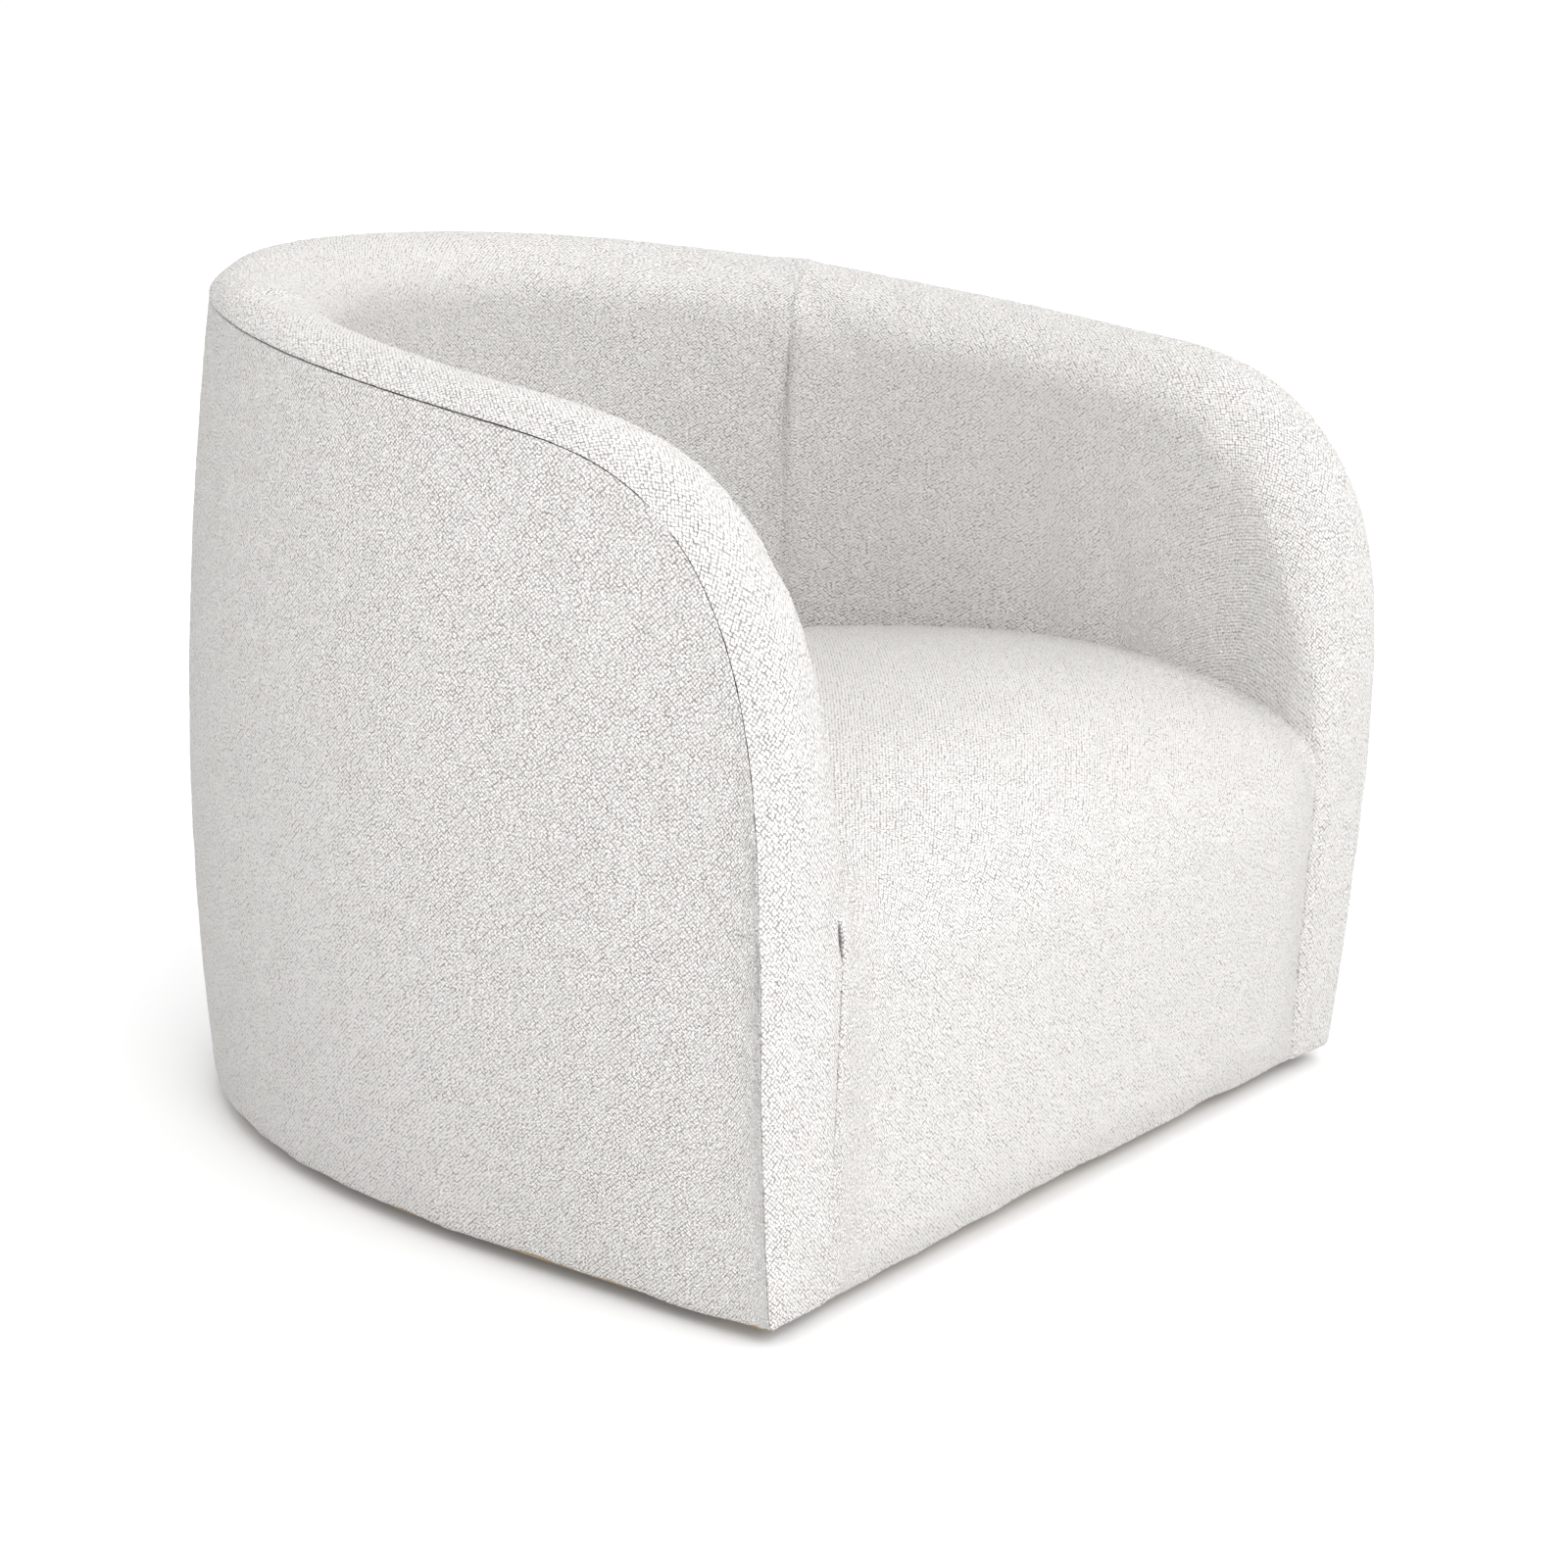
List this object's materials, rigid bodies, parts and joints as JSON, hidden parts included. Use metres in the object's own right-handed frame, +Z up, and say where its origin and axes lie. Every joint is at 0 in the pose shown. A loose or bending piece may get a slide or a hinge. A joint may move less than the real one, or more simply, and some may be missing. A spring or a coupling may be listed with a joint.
{
  "type": "upholstered swivel tub armchair",
  "caption": "Low tub armchair covered in looped ivory fabric: D-shaped wall with a rolled top band, fixed seat, and a hidden swivel base under the hem.",
  "frame": {"origin": "on the floor under the middle of the chair's bounding box; the swivel axis passes through it", "axes": "+Z up, -Y is the front of the seat, +X is the viewer's right when facing the back of the chair from the front"},
  "size_m": [0.886, 0.8931, 0.7434],
  "materials": {
    "looped_fabric": "matte",
    "foam": "matte",
    "liner_board": "matte",
    "dust_cloth": "matte",
    "glide_plastic": "matte",
    "spring_steel": "satin",
    "swivel_steel": "satin",
    "screw_steel": "satin",
    "solid_wood": "matte",
    "plywood": "matte"
  },
  "bodies": {
    "base": {"base_board": "plywood", "glide_1": "glide_plastic", "glide_2": "glide_plastic", "glide_3": "glide_plastic", "glide_4": "glide_plastic", "lower_screw_1": "screw_steel", "lower_screw_2": "screw_steel", "lower_screw_3": "screw_steel", "lower_screw_4": "screw_steel", "lower_swivel_plate": "swivel_steel"},
    "ball_cage": {"ball_cage": "swivel_steel"},
    "chair": {"arm_former_left": "plywood", "arm_former_right": "plywood", "arm_rail_left": "plywood", "arm_rail_right": "plywood", "back_top_rail": "plywood", "bottom_rail_back": "plywood", "bottom_rail_front": "plywood", "bottom_rail_left": "plywood", "bottom_rail_right": "plywood", "clip_front_1": "spring_steel", "clip_front_2": "spring_steel", "clip_front_3": "spring_steel", "clip_front_4": "spring_steel", "clip_rear_1": "spring_steel", "clip_rear_2": "spring_steel", "clip_rear_3": "spring_steel", "clip_rear_4": "spring_steel", "cross_member_front": "solid_wood", "cross_member_rear": "solid_wood", "dust_cover": "dust_cloth", "front_board": "plywood", "inside_cover_back": "looped_fabric", "inside_cover_left": "looped_fabric", "inside_cover_right": "looped_fabric", "inside_foam_back": "foam", "inside_foam_left": "foam", "inside_foam_right": "foam", "outside_cover_back": "looped_fabric", "outside_cover_left": "looped_fabric", "outside_cover_right": "looped_fabric", "outside_liner_back": "liner_board", "outside_liner_left": "liner_board", "outside_liner_right": "liner_board", "rear_post_left": "solid_wood", "rear_post_right": "solid_wood", "seat_cover": "looped_fabric", "seat_foam": "foam", "seat_rail_left": "solid_wood", "seat_rail_rear": "solid_wood", "seat_rail_right": "solid_wood", "spring_1": "spring_steel", "spring_2": "spring_steel", "spring_3": "spring_steel", "spring_4": "spring_steel", "upper_screw_1": "screw_steel", "upper_screw_2": "screw_steel", "upper_screw_3": "screw_steel", "upper_screw_4": "screw_steel", "upper_swivel_plate": "swivel_steel"}
  },
  "joints": [
    {"name": "swivel", "type": "hinge", "parent": "base", "child": "chair", "pos_m": [0, 0, 0.03], "axis": [0, 0, 1], "continuous": true},
    {"name": "cage_roll", "type": "hinge", "parent": "base", "child": "ball_cage", "pos_m": [0, 0, 0.03], "axis": [0, 0, 1], "continuous": true}
  ],
  "couplings": [
    {"joint": "cage_roll", "follows": "swivel", "ratio": 0.5}
  ]
}
